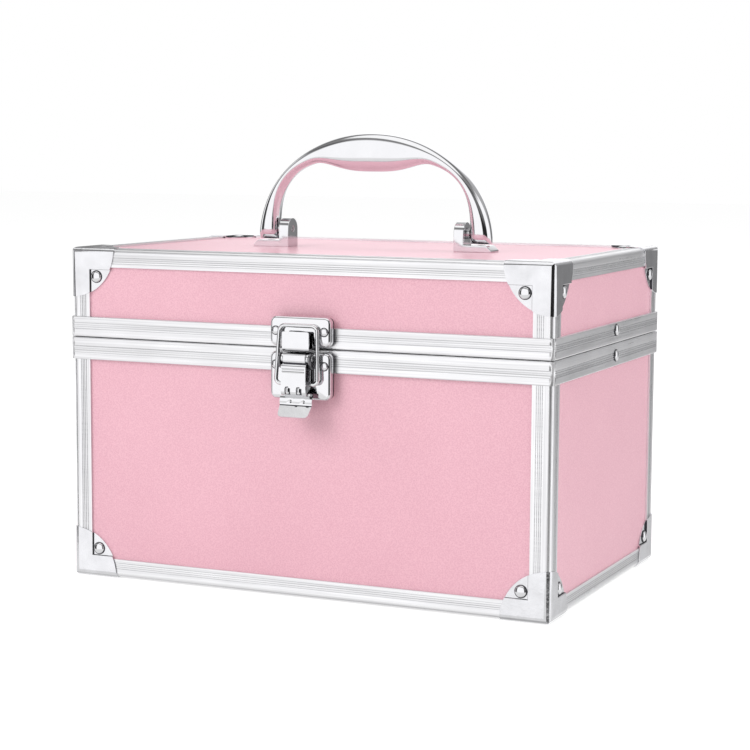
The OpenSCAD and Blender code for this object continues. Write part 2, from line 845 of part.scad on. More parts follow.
bail_reach = norm(bail_top - bail_low);
bail_lean = atan2(bail_top[0] - bail_low[0], bail_top[1] - bail_low[1]);
bail_splay = atan((bail_low_x - bail_top_x) / bail_reach);
bail_low_r = 2.2;
bail_top_r = 3;
bail_bend_x = bail_low_x - bail_low_r;
bail_leg0 = [bail_bend_x + bail_low_r * cos(bail_splay), bail_low_r * (1 + sin(bail_splay))];
bail_leg_l = (bail_reach - bail_top_r * (1 - sin(bail_splay)) - bail_leg0[1]) / cos(bail_splay);
bail_leg1 = bail_leg0 + bail_leg_l * [-sin(bail_splay), cos(bail_splay)];
bail_top_c = bail_leg1 - bail_top_r * [cos(bail_splay), sin(bail_splay)];

// Half of the wire's path, in the plane of x and the bail's own height
bail_half_path = concat(
    [[lever_w / 2 - 1.2, 0]],
    arc([bail_bend_x, bail_low_r], bail_low_r, -90, bail_splay, 7),
    arc(bail_top_c, bail_top_r, bail_splay, 90, 7)
);
bail_path = concat(bail_half_path, [for (p = reversed(bail_half_path)) [-p[0], p[1]]]);
bail_rings = [for (i = [0 : len(bail_path) - 1]) let (v = path_dir(bail_path, i)) [for (k = [0 : 15]) let (
        a = 22.5 * k,
        p = bail_path[i] + wire_r * cos(a) * [v[1], -v[0]]
    ) [p[0], p[1], wire_r * sin(a)]]];

module latch_bail() {
    color(bright) centred() translate([latch_x, -front_y - bail_low[0], bail_low[1]])
        rotate([90 + bail_lean, 0, 0]) swept(bail_rings);
}

// ---- hinges ----

knuckle_mid = 4.8;
knuckle_gap = 0.2;

module hinge_rivet_places() {
    for (s = [-1, 1], t = [-1, 1], z = [-1, 1])
        on_back(s * hinge_x + t * hinge_l * 0.32, parting_z + z * (leaf_h - 2.9), rim_t) children();
}

module hinge_rivets(z) {
    for (s = [-1, 1], t = [-1, 1])
        on_back(s * hinge_x + t * hinge_l * 0.32, parting_z + z * (leaf_h - 2.9), rim_t + leaf_t)
            rivet(1.7, low_head_h, shank_r, leaf_t + rim_t + panel_t - 0.4);
}

// A knuckle with the web that joins it to its leaf, on one side of the parting line
module knuckle(x0, x1, z) {
    translate([(x0 + x1) / 2, hinge_y, parting_z]) {
        bar(knuckle_r, x1 - x0);
        translate([0, -(hinge_y - front_y - rim_t) / 2, z * (knuckle_r + 0.6) / 2 + z * 0.05])
            cube([x1 - x0, hinge_y - front_y - rim_t, knuckle_r + 0.6 - 0.1], center = true);
    }
}

module leaf(x, z) {
    low = knuckle_r + 0.5;
    difference() {
        union() {
            translate([x - hinge_l / 2, front_y + rim_t, parting_z + (z > 0 ? low : -leaf_h - 0.6)])
                cube([hinge_l, leaf_t, leaf_h + 0.6 - low]);
            if (z > 0) knuckle(x - knuckle_mid, x + knuckle_mid, z);
            if (z < 0) for (s = [-1, 1]) knuckle(
                x + (s > 0 ? knuckle_mid + knuckle_gap : -hinge_l / 2),
                x + (s > 0 ? hinge_l / 2 : -knuckle_mid - knuckle_gap), z);
        }
        translate([x, hinge_y, parting_z]) bar(hinge_pin_r + 0.05, hinge_l + 2);
        hinge_rivet_places() cylinder(r = shank_r + shank_gap, h = 8, center = true);
    }
}

module hinge_body_leaves() {
    color(bright) centred() for (s = [-1, 1]) leaf(s * hinge_x, -1);
}

module hinge_lid_leaves() {
    color(bright) centred() for (s = [-1, 1]) leaf(s * hinge_x, 1);
}

module hinge_pins() {
    color(bright) centred() for (s = [-1, 1]) translate([s * hinge_x, hinge_y, parting_z]) bar(hinge_pin_r, hinge_l - 0.4);
}

// ---- lid stays ----

module stay_rivets(p, link_u) {
    tail = link_u + link_t + 0.15;
    for (s = [-1, 1]) {
        on_side(s, p[0], p[1], rim_t) rivet(3, 1.3, stay_pin_r, rim_t + tail + 0.7);
        on_side(s, p[0], p[1], -tail - 0.7) cylinder(r = 2.5, h = 0.7);
    }
}

// Spacer that holds the upper link clear of the lower one
module stay_washer() {
    thick = top_link_u - panel_t - rim_wall - 0.1;
    translate([0, 0, -thick]) difference() {
        cylinder(r = 3, h = thick);
        translate([0, 0, -1]) cylinder(r = stay_pin_r, h = thick + 2);
    }
}

// Flat link from p to the middle pivot, on the side s, u inwards from the panel
module link(s, p, u) {
    long = norm(stay_mid - p);
    tilt = atan2(stay_mid[1] - p[1], stay_mid[0] - p[0]);
    translate([s * (side_x - u - link_t / 2), p[0], p[1]]) rotate([tilt, 0, 0]) rotate([90, 0, 90])
        linear_extrude(link_t, center = true) {
            translate([0, -link_w / 2]) square([long, link_w]);
            circle(link_w / 2);
            translate([long, 0]) circle(link_w / 2);
        }
}

module stay_hole(s, p) {
    on_side(s, p[0], p[1], 0) cylinder(r = stay_pin_r + 0.05, h = 30, center = true);
}

// Lower link, with the rivet of the middle pivot fixed in it
module stay_lower_link(s) {
    tail = top_link_u + link_t + 0.15;
    color(bright) centred() {
        difference() {
            link(s, stay_low, low_link_u);
            stay_hole(s, stay_low);
        }
        on_side(s, stay_mid[0], stay_mid[1], -tail - 0.7) {
            cylinder(r = stay_pin_r, h = tail + 0.7 - low_link_u - link_t / 2);
            cylinder(r = 2.5, h = 0.7);
        }
    }
}

module stay_upper_link(s) {
    color(bright) centred() difference() {
        link(s, stay_top, top_link_u);
        stay_hole(s, stay_top);
        stay_hole(s, stay_mid);
    }
}

// ---- mirror ----

module mirror_plate() {
    color("#e8eef2") centred() translate([0, 0, mirror_z1 - mirror_t / 2])
        linear_extrude(mirror_t, center = true) rounded_rect(mirror_w, mirror_d, 4);
}

// Spring clip: a foot on the lining, a step down the mirror's edge and a lip over its face
module mirror_clip() {
    w = 10;
    t = 0.8;
    step = mirror_t + t;
    rotate([90, 0, 90]) linear_extrude(w, center = true)
        polygon([[0.1, 0], [7, 0], [7, -t], [0.1 + t, -t], [0.1 + t, -step - 0.1], [-3, -step - 0.1],
            [-3, -mirror_t - 0.1], [0.1, -mirror_t - 0.1]]);
}

module mirror_clips() {
    color(bright) centred() for (sx = [-1, 1], sy = [-1, 1])
        translate([sx * mirror_w / 4, sy * mirror_d / 2, mirror_z1]) mirror([0, sy < 0 ? 1 : 0, 0]) mirror_clip();
}

// ---- handle ----

post_out = bow_inner_w - post_gap;
post_in = post_out - post_t;
foot_out = bow_half_w + foot_past;
screw_x = (post_out + foot_out) / 2;

module handle_bracket(s) {
    color(bright) centred() translate([handle_x, 0, board_z1]) mirror([s < 0 ? 1 : 0, 0, 0]) difference() {
        union() {
            foot_plate();
            translate([post_in, 0, 0]) rotate([90, 0, 90]) linear_extrude(post_t) {
                translate([-post_r, 0]) square([2 * post_r, handle_pivot_h]);
                translate([0, handle_pivot_h]) circle(post_r);
            }
        }
        translate([post_in, 0, handle_pivot_h]) bar(handle_pin_r + 0.03, 60);
        translate([screw_x, 0, -1]) cylinder(r = shank_r + shank_gap, h = foot_t + 2);
        translate([screw_x, 0, foot_t - 1.1]) cylinder(r = 2.6, h = 3);
    }
}

// Foot with a bevelled outer end
module foot_plate() {
    rotate([90, 0, 0]) linear_extrude(2 * post_r, center = true)
        polygon([[post_in, 0], [foot_out, 0], [foot_out, 1], [foot_out - 2.4, foot_t], [post_in, foot_t]]);
}

module handle_screws() {
    color(grey) centred() for (s = [-1, 1]) translate([handle_x + s * screw_x, 0, board_z1 + foot_t - 1.1]) difference() {
        union() {
            cylinder(r = 2.5, h = 0.8);
            translate([0, 0, 1.5 - foot_t - panel_t]) cylinder(r = shank_r, h = foot_t + panel_t - 1.1);
        }
        translate([0, 0, 1]) cube([4, 0.5, 1], center = true);
        translate([0, 0, 1]) cube([0.5, 4, 1], center = true);
    }
}

// Each pin carries a collar between the post and the bow
module handle_pins() {
    long = post_t + post_gap + 6;
    color(bright) centred() for (s = [-1, 1]) {
        translate([handle_x + s * (post_in + long / 2), 0, handle_pivot_z]) bar(handle_pin_r, long);
        translate([handle_x + s * (post_out + post_gap / 2), 0, handle_pivot_z]) bar(handle_pin_r + 1.3, post_gap - 0.2);
    }
}

// The bow: rings between an elliptical outer outline and a squarer inner one with the grip's swell
bow_steps = 44;
bow_sides = 20;
squareness = 3.5;
spring_z = handle_pivot_z - 5.6;
function signed_pow(v, p) = sign(v) * pow(abs(v), p);
function bow_outer(a) = [bow_half_w * cos(a), bow_rise * sin(a)];
// Point of the opening's outline in line with the outer one from the middle of the springing
function bow_inner(a) = let (
    t = atan2(bow_rise * sin(a), bow_half_w * cos(a)),
    r = pow(pow(abs(cos(t)) / bow_inner_w, squareness) + pow(sin(t) / bow_inner_rise, squareness), -1 / squareness),
    x = r * cos(t)
) [x, r * sin(t) - (abs(x) < swell_half ? swell * (1 + cos(180 * pow(abs(x) / swell_half, 1.6))) / 2 : 0)];
function bow_depth(a) = bow_foot_d + (bow_grip_d - bow_foot_d) * pow(sin(a), 3);
// Ring between two points of the outlines, d wide: flat-sided outside, rounder towards the opening
function bow_ring(outer, inner, d) = [for (k = [0 : bow_sides - 1]) let (
        a = 360 * k / bow_sides,
        s = signed_pow(cos(a), cos(a) < 0 ? 0.85 : 0.55),
        w = signed_pow(sin(a), cos(a) < 0 ? 0.85 : 0.6),
        p = (outer + inner) / 2 + s * (outer - inner) / 2
    ) [handle_x + p[0], w * d / 2, spring_z + p[1]]];
// The feet are cut level and rounded about the pivot
function foot_ring(s, t) = let (h = handle_pivot_z - spring_z - bow_foot_r * sin(t)) bow_ring(
    [s * bow_half_w * sqrt(1 - pow(h / bow_rise, 2)), h],
    [s * bow_inner_w * pow(1 - pow(h / bow_inner_rise, squareness), 1 / squareness), h],
    min(bow_foot_d, 2 * bow_foot_r * cos(t)));
foot_turns = [78, 66, 54, 42, 31, 20];
bow_rings = concat(
    [for (t = foot_turns) foot_ring(1, t)],
    [for (i = [0 : bow_steps]) let (a = 6.5 + 167 * i / bow_steps) bow_ring(bow_outer(a), bow_inner(a), bow_depth(a))],
    [for (t = reversed(foot_turns)) foot_ring(-1, t)]
);

module swept(rings) {
    n = len(rings[0]);
    last = len(rings) - 1;
    polyhedron(
        [for (ring = rings, p = ring) p],
        concat(
            [for (i = [0 : last - 1], k = [0 : n - 1], half = [0, 1]) let (
                a = i * n + k,
                b = i * n + (k + 1) % n
            ) half == 0 ? [a, b, a + n] : [b, b + n, a + n]],
            [[for (k = [n - 1 : -1 : 0]) k]],
            [[for (k = [0 : n - 1]) last * n + k]]
        )
    );
}

module handle_bow() {
    color(bright) centred() difference() {
        swept(bow_rings);
        for (s = [-1, 1])
            translate([handle_x + s * (post_in + (post_t + post_gap + 6.3) / 2), 0, handle_pivot_z])
                bar(handle_pin_r + 0.05, post_t + post_gap + 6.3);
    }
}

// ---- the case ----

body_front_panel();
body_back_panel();
body_left_panel();
body_right_panel();
body_bottom_panel();
rail_x(-1, false);  // base_rail_front
rail_x(1, false);  // base_rail_back
rail_y(-1, false);  // base_rail_left
rail_y(1, false);  // base_rail_right
body_posts();
body_rim("front");  // body_rim_front
body_rim("back");  // body_rim_back
body_rim("left");  // body_rim_left
body_rim("right");  // body_rim_right
body_lining();
cap(-1, -1, false);  // base_cap_front_left
cap(1, -1, false);  // base_cap_front_right
cap(-1, 1, false);  // base_cap_back_left
cap(1, 1, false);  // base_cap_back_right
body_rivets();
latch_base_plate();
latch_pin();
hinge_body_leaves();
hinge_pins();
lid_top_panel();
lid_front_panel();
lid_back_panel();
lid_left_panel();
lid_right_panel();
rail_x(-1, true);  // lid_rail_front
rail_x(1, true);  // lid_rail_back
rail_y(-1, true);  // lid_rail_left
rail_y(1, true);  // lid_rail_right
lid_posts();
lid_rim("front");  // lid_rim_front
lid_rim("back");  // lid_rim_back
lid_rim("left");  // lid_rim_left
lid_rim("right");  // lid_rim_right
lid_lining();
cap(-1, -1, true);  // lid_cap_front_left
cap(1, -1, true);  // lid_cap_front_right
cap(-1, 1, true);  // lid_cap_back_left
cap(1, 1, true);  // lid_cap_back_right
lid_rivets();
latch_keeper();
hinge_lid_leaves();
mirror_plate();  // mirror
mirror_clips();
handle_bracket(-1);  // handle_bracket_left
handle_bracket(1);  // handle_bracket_right
handle_pins();
handle_screws();
handle_bow();
latch_lever();
latch_bail();
stay_lower_link(-1);  // stay_lower_link_left
stay_upper_link(-1);  // stay_upper_link_left
stay_lower_link(1);  // stay_lower_link_right
stay_upper_link(1);  // stay_upper_link_right
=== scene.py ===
import json
import math

import bmesh
import bpy
import numpy as np
from mathutils import Matrix, Vector


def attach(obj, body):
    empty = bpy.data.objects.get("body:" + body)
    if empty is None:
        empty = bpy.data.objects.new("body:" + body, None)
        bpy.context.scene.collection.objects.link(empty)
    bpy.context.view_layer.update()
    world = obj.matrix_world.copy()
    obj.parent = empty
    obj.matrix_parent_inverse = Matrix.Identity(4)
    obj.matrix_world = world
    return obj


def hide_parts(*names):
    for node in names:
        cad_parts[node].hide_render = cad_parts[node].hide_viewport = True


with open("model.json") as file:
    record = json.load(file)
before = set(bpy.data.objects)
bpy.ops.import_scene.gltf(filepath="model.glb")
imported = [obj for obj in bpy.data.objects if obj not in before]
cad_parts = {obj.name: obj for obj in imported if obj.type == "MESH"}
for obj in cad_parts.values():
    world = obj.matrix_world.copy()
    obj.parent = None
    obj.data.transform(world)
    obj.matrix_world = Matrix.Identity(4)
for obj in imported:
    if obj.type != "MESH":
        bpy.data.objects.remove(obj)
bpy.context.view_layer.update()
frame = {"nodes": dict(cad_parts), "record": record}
nodes = frame["nodes"]
bodies = frame["record"]["behaviour"]["bodies"]
body_of = {n: b for b, ns in bodies.items() for n in ns}
MM = 0.001  # shapes are worked out in mm; camera, floor and lamps are in metres


# ---- camera: 24 degrees to the right, 7 degrees up, with a slight roll ----

CAM_AT = (0.41191, -0.90813, 0.21619)
CAM_RIGHT = Vector((0.9119736, 0.41021291, 0.00543378))
CAM_UP = Vector((-0.05291369, 0.10448112, 0.99311824))
CAM_BACK = Vector((0.4068222, -0.90598513, 0.1169899))

cam_data = bpy.data.cameras.new("camera")
cam = bpy.data.objects.new("camera", cam_data)
bpy.context.scene.collection.objects.link(cam)
cam_turn = Matrix((CAM_RIGHT, CAM_UP, CAM_BACK)).transposed().to_4x4()
cam.matrix_world = Matrix.Translation(CAM_AT) @ cam_turn
cam_data.sensor_fit = "HORIZONTAL"
cam_data.sensor_width = 36
cam_data.lens = 95.75
cam_data.clip_start = 0.05
cam_data.clip_end = 30
bpy.context.scene.camera = cam


# ---- node helpers ----

def add(nt, kind, inputs=(), **settings):
    """A node with its settings, and values for its numbered inputs."""
    n = nt.nodes.new(kind)
    for k, v in settings.items():
        setattr(n, k, v)
    for i, v in inputs:
        n.inputs[i].default_value = v
    return n


def new_material(name):
    m = bpy.data.materials.new(name)
    m.use_nodes = True
    nt = m.node_tree
    nt.nodes.clear()
    out = add(nt, "ShaderNodeOutputMaterial")
    bsdf = add(nt, "ShaderNodeBsdfPrincipled")
    nt.links.new(bsdf.outputs[0], out.inputs[0])
    return m, nt, bsdf


def coords(nt, scale=(1, 1, 1)):
    tc = add(nt, "ShaderNodeTexCoord")
    mp = add(nt, "ShaderNodeMapping")
    mp.inputs["Scale"].default_value = scale
    nt.links.new(tc.outputs["Object"], mp.inputs["Vector"])
    return mp.outputs[0]


def noise(nt, vec, scale, detail, rough):
    n = add(nt, "ShaderNodeTexNoise")
    n.inputs["Scale"].default_value = scale
    n.inputs["Detail"].default_value = detail
    n.inputs["Roughness"].default_value = rough
    nt.links.new(vec, n.inputs["Vector"])
    return n.outputs["Fac"]


def ramp(nt, fac, stops):
    r = add(nt, "ShaderNodeValToRGB")
    el = r.color_ramp.elements
    while len(el) < len(stops):
        el.new(0.5)
    for e, (pos, col) in zip(el, stops):
        e.position = pos
        e.color = (*col, 1)
    nt.links.new(fac, r.inputs[0])
    return r.outputs[0]


def remap(nt, fac, a, b, c, d):
    """The value carried over from the range a..b to c..d."""
    r = add(nt, "ShaderNodeMapRange", zip((1, 2, 3, 4), (a, b, c, d)))
    nt.links.new(fac, r.inputs[0])
    return r.outputs[0]


def math_node(nt, op, a, b):
    n = add(nt, "ShaderNodeMath", operation=op)
    for i, v in enumerate((a, b)):
        if isinstance(v, (int, float)):
            n.inputs[i].default_value = v
        else:
            nt.links.new(v, n.inputs[i])
    return n.outputs[0]


def weighed(nt, a, part_a, b, part_b):
    """part_a of a and part_b of b, added up."""
    return math_node(nt, "ADD", math_node(nt, "MULTIPLY", a, part_a),
                     math_node(nt, "MULTIPLY", b, part_b))


def blend(nt, kind, fac, a, b):
    n = add(nt, "ShaderNodeMix", data_type="RGBA", blend_type=kind)
    if isinstance(fac, float):
        n.inputs[0].default_value = fac
    else:
        nt.links.new(fac, n.inputs[0])
    nt.links.new(a, n.inputs[6])
    nt.links.new(b, n.inputs[7])
    return n.outputs[2]


def bump(nt, height, distance, strength):
    b = add(nt, "ShaderNodeBump")
    b.inputs["Strength"].default_value = strength
    b.inputs["Distance"].default_value = distance
    nt.links.new(height, b.inputs["Height"])
    return b.outputs[0]


def lin(r, g, b):
    """Linear colour of a display colour."""
    return tuple(c / 255 / 12.92 if c / 255 <= 0.04045 else ((c / 255 + 0.055) / 1.055) ** 2.4
                 for c in (r, g, b))


# ---- materials: grain scales are cells per metre, bump depths are metres ----

def pink_board():
    m, nt, p = new_material("pink_board_film")
    v = coords(nt)
    cells = add(nt, "ShaderNodeTexVoronoi", feature="SMOOTH_F1")
    cells.inputs["Scale"].default_value = 1500
    cells.inputs["Smoothness"].default_value = 0.6
    nt.links.new(v, cells.inputs["Vector"])
    grain = cells.outputs["Distance"]
    fine = noise(nt, v, 2600, 3, 0.6)
    broad = noise(nt, v, 22, 3, 0.5)
    height = weighed(nt, grain, 0.8, fine, 0.5)
    tone = weighed(nt, grain, 0.8, fine, 0.4)
    pink = ramp(nt, tone, [(0.15, lin(228, 168, 185)), (0.75, lin(244, 193, 205))])
    uneven = ramp(nt, broad, [(0.3, (0.97, 0.96, 0.965)), (0.7, (1, 1, 1))])
    nt.links.new(blend(nt, "MULTIPLY", 1.0, pink, uneven), p.inputs["Base Color"])
    nt.links.new(remap(nt, fine, 0.3, 0.7, 0.27, 0.38), p.inputs["Roughness"])
    p.inputs["Specular IOR Level"].default_value = 0.5
    nt.links.new(bump(nt, height, 0.00008, 0.45), p.inputs["Normal"])
    return m


def satin_aluminium(name, along, low=(0.83, 0.825, 0.84), high=(0.955, 0.955, 0.965),
                    rough=(0.27, 0.43)):
    """Metal drawn along one axis, with fine and wide streaks."""
    m, nt, p = new_material(name)

    def streaks(lengthwise, across, roughness):
        scale = tuple(lengthwise if i == along else across for i in range(3))
        return noise(nt, coords(nt, scale), 1.0, 2, roughness)

    fine = streaks(25, 4200, 0.55)
    wide = streaks(9, 1150, 0.6)
    cloud = noise(nt, coords(nt), 60, 3, 0.5)
    streak = weighed(nt, fine, 0.35, wide, 0.65)
    nt.links.new(ramp(nt, streak, [(0.36, low), (0.6, high)]), p.inputs["Base Color"])
    p.inputs["Metallic"].default_value = 1.0
    gloss = math_node(nt, "ADD", remap(nt, streak, 0.35, 0.65, rough[1], rough[0]),
                      remap(nt, cloud, 0.3, 0.7, -0.03, 0.03))
    nt.links.new(gloss, p.inputs["Roughness"])
    nt.links.new(bump(nt, streak, 0.00003, 0.5), p.inputs["Normal"])
    return m


def chrome(name, base=(0.80, 0.80, 0.815), rough=(0.04, 0.11), wave=0.00004, cloud=0.96,
           size=140):
    """Polished metal; cloud is how dark its haze gets and size how many patches a metre has."""
    m, nt, p = new_material(name)
    v = coords(nt)
    haze = noise(nt, v, size, 4, 0.55)
    fine = noise(nt, v, 900, 2, 0.5)
    low = tuple(c * cloud for c in base)
    nt.links.new(ramp(nt, haze, [(0.3, low), (0.7, base)]), p.inputs["Base Color"])
    p.inputs["Metallic"].default_value = 1.0
    nt.links.new(remap(nt, haze, 0.3, 0.75, rough[0], rough[1]), p.inputs["Roughness"])
    h = math_node(nt, "ADD", haze, math_node(nt, "MULTIPLY", fine, 0.15))
    nt.links.new(bump(nt, h, wave, 0.5), p.inputs["Normal"])
    return m


def mottled_metal(name, scale, detail, grain, tones, rough):
    """Metal without bumps whose colour and gloss both follow one noise."""
    m, nt, p = new_material(name)
    n = noise(nt, coords(nt), scale, detail, grain)
    nt.links.new(ramp(nt, n, [(0.3, tones[0]), (0.7, tones[1])]), p.inputs["Base Color"])
    p.inputs["Metallic"].default_value = 1.0
    nt.links.new(remap(nt, n, 0.3, 0.7, rough[0], rough[1]), p.inputs["Roughness"])
    return m


def pile_lining():
    m, nt, p = new_material("lining_pile")
    v = coords(nt)
    hair = noise(nt, v, 2400, 4, 0.7)
    patch = noise(nt, v, 35, 3, 0.6)
    tone = weighed(nt, hair, 0.7, patch, 0.3)
    dark = ramp(nt, tone, [(0.3, (0.035, 0.033, 0.036)), (0.7, (0.105, 0.10, 0.108))])
    nt.links.new(dark, p.inputs["Base Color"])
    p.inputs["Roughness"].default_value = 0.95
    p.inputs["Specular IOR Level"].default_value = 0.15
    p.inputs["Sheen Weight"].default_value = 0.35
    p.inputs["Sheen Roughness"].default_value = 0.5
    nt.links.new(bump(nt, hair, 0.0003, 0.8), p.inputs["Normal"])
    return m


PINK = pink_board()
ALU_X = satin_aluminium("aluminium_along_x", 0)
ALU_Y = satin_aluminium("aluminium_along_y", 1)
ALU_Z = satin_aluminium("aluminium_along_z", 2)
CHROME = chrome("chrome_fittings")
CHROME_HANDLE = chrome("chrome_handle", rough=(0.04, 0.10), wave=0.00003)
CHROME_SHEET = chrome("bright_sheet", base=(0.82, 0.82, 0.84), rough=(0.07, 0.16), wave=0.0002,
                      cloud=0.84, size=95)
# painted shade: a darker aluminium for the floors and walls of the grooves, for the shade that
# falls in them
GROOVE = satin_aluminium("aluminium_groove", 0, (0.60, 0.60, 0.615), (0.78, 0.78, 0.79),
                         (0.3, 0.42))
# painted shade: chrome darkened for the latch's ears and flanges, which stand in shade between
# its plates, and for the bent sheets' inner faces
SHADED = chrome("shaded_sheet", base=(0.24, 0.24, 0.25), rough=(0.14, 0.26))
CREVICE = chrome("crevice_shadow", base=(0.09, 0.09, 0.10), rough=(0.35, 0.5))
STEEL = mottled_metal("pin_steel", 700, 3, 0.6, ((0.42, 0.42, 0.43), (0.6, 0.6, 0.61)),
                      (0.2, 0.34))
LINING = pile_lining()
GLASS = mottled_metal("silvered_glass", 40, 2, 0.5, ((0.60, 0.625, 0.64), (0.66, 0.68, 0.69)),
                      (0.012, 0.025))


def material_for(n):
    if n.endswith("_panel"):
        return PINK
    if n.endswith("posts"):
        return ALU_Z
    if "rail" in n or "rim" in n:
        return ALU_Y if n.endswith(("left", "right")) else ALU_X
    if n.endswith("lining"):
        return LINING
    if n == "mirror":
        return GLASS
    if "cap_" in n:
        return CHROME_SHEET
    if n.endswith(("pins", "pin", "screws")):
        return STEEL
    if n.startswith("handle_bracket"):
        return CHROME_HANDLE
    return CHROME


for n, o in nodes.items():
    o.data.materials.clear()
    o.data.materials.append(material_for(n))


# ---- making and placing pieces ----

def outward(me):
    """Turn all faces of a closed mesh outward."""
    bm = bmesh.new()
    bm.from_mesh(me)
    bmesh.ops.recalc_face_normals(bm, faces=bm.faces)
    bm.to_mesh(me)
    bm.free()


def linked(name, me):
    o = bpy.data.objects.new(name, me)
    bpy.context.scene.collection.objects.link(o)
    return o


def closed(name, verts, faces, materials=(), index=None):
    """An object from points in mm and faces, with a material number for each face."""
    me = bpy.data.meshes.new(name)
    me.from_pydata([tuple(c * MM for c in v) for v in verts], [], faces)
    for m in materials:
        me.materials.append(m)
    if index:
        me.polygons.foreach_set("material_index", index)
    outward(me)
    return linked(name, me)


def shaded(obj, angle, weighted=False):
    """Smooth shading with sharp edges above the angle in degrees."""
    obj.data.shade_smooth()
    obj.data.set_sharp_from_angle(angle=math.radians(angle))
    if weighted:
        w = obj.modifiers.new("flat_faces", "WEIGHTED_NORMAL")
        w.keep_sharp = True
    return obj


def place(obj, body, slot, material, *replaced):
    if not obj.data.materials:
        obj.data.materials.append(material)
    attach(obj, body)
    if replaced:
        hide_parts(*replaced)


def bevelled(bm, edges, width, segments):
    bmesh.ops.bevel(bm, geom=edges, offset=width * MM, offset_type="OFFSET", segments=segments,
                    profile=0.5, affect="EDGES", clamp_overlap=True)


def hard_edges(bm):
    return [e for e in bm.edges
            if len(e.link_faces) == 2 and e.calc_face_angle(0) > math.radians(35)]


# ---- pieces with eased edges ----

SIDE_X, FRONT_Y, BACK_Y, TOP_Z, UNDER_Z = 124.75, -76.45, 84.35, 162.9, 0.6  # rails' outside
RIM_PROUD = 0.9  # how far the rims stand over the rails
CAP_T, CAP_BAND = 0.6, 10.3  # a cap's sheet, and the width of its raised band
MID_Y, MID_Z = 3.95, 80  # between front and back, and between the lower and the upper caps
NEAR = 0.02  # a point this near to a plane counts as lying on it
WELD = 3e-6  # m, points this near to each other are one
GROOVE_FLOOR, GROOVE_WALL = (0.12, 0.28), (0.04, 0.16)  # how deep their middles may lie
PLANES = {  # outer planes of the rims and of the rails: axis, sign, place
    "rim": [(0, -1, -SIDE_X - RIM_PROUD), (0, 1, SIDE_X + RIM_PROUD),
            (1, -1, FRONT_Y - RIM_PROUD), (1, 1, BACK_Y + RIM_PROUD)],
    "rail": [(0, -1, -SIDE_X), (0, 1, SIDE_X), (1, -1, FRONT_Y), (1, 1, BACK_Y),
             (2, 1, TOP_Z), (2, -1, UNDER_Z)],
}


def slot_for(n):
    return "aluminium" if ("rail" in n or "rim" in n or "posts" in n) else "chrome"


def in_groove(face, planes):
    c, n = face.calc_center_median() / MM, face.normal
    for axis, sign, at in planes:
        depth = (at - c[axis]) * sign
        if n[axis] * sign > 0.98 and GROOVE_FLOOR[0] < depth < GROOVE_FLOOR[1]:
            return True
        if abs(n[axis]) < 0.05 and GROOVE_WALL[0] < depth < GROOVE_WALL[1]:
            return True
    return False


def from_corner(co):
    """Distances in mm of a point from the frame's outer planes at its corner of the case."""
    x, y, z = co / MM
    return (SIDE_X - abs(x), y - FRONT_Y if y < MID_Y else BACK_Y - y,
            TOP_Z - z if z > MID_Z else z - UNDER_Z)


def on_step(edge):
    """Whether an edge is the outer edge of a cap's raised band, beside the rivet's recess."""
    p, q = (from_corner(v.co) for v in edge.verts)

    def both_at(d):
        return any(abs(p[i] - d) < NEAR and abs(q[i] - d) < NEAR for i in range(3))

    return both_at(-CAP_T) and both_at(CAP_BAND)


def on_band_side(face):
    """Whether a face is the wall between a cap's raised band and its recess."""
    points = [from_corner(v.co) for v in face.verts]
    return any(all(abs(c[i] - CAP_BAND) < 2 * NEAR for c in points) for i in range(3))


def eased(n, width):
    bm = bmesh.new()
    bm.from_mesh(nodes[n].data)
    bmesh.ops.remove_doubles(bm, verts=bm.verts, dist=WELD)
    bmesh.ops.dissolve_limit(bm, angle_limit=math.radians(0.5), verts=bm.verts, edges=bm.edges)
    if "cap_" in n:
        bevelled(bm, [e for e in bm.edges if on_step(e)], 0.7, 5)
    if width:
        bevelled(bm, hard_edges(bm), width, 2)
    me = bpy.data.meshes.new(n + "_eased")
    me.materials.append(material_for(n))
    if slot_for(n) == "aluminium":
        # the grooves' floors and walls get the darker aluminium of painted shade
        me.materials.append(GROOVE)
        planes = PLANES["rim" if "rim" in n else "rail"]
        for f in bm.faces:
            f.material_index = 1 if in_groove(f, planes) else 0
    elif "cap_" in n:
        # painted shadow: the wall between a cap's raised band and its recess gets the dark
        # crevice material
        me.materials.append(CREVICE)
        for f in bm.faces:
            f.material_index = 1 if on_band_side(f) else 0
    bm.to_mesh(me)
    bm.free()
    o = shaded(linked(n + "_eased", me), 32, weighted=True)
    place(o, body_of[n], slot_for(n), None, n)


# ---- rivet heads ----

RIVET_SIDES = 32
TURNED_BANDS = 4  # of the dome's profile, from its foot, that lie in shadow


def islands(bm):
    """The points in mm of each separate solid of a mesh."""
    left = set(bm.verts)
    for first in bm.verts:
        if first not in left:
            continue
        left.discard(first)
        stack, points = [first], []
        while stack:
            v = stack.pop()
            points.append(tuple(v.co / MM))
            for e in v.link_edges:
                w = e.other_vert(v)
                if w in left:
                    left.discard(w)
                    stack.append(w)
        yield np.array(sorted(points))


def dome_profile(big, high):
    """Radius and height of a rivet's dome, over a turned edge and a skirt that is sunk in."""
    r_in = big - 0.34
    edge = [(big, -0.4), (big + 0.01, 0.16 * high), (big - 0.1, 0.3 * high),
            (big - 0.28, 0.31 * high), (r_in, 0.34 * high)]
    turns = [math.radians(9 * i) for i in range(1, 10)]
    return edge + [(r_in * math.cos(t), 0.34 * high + (0.66 * high + 0.012) * math.sin(t))
                   for t in turns]


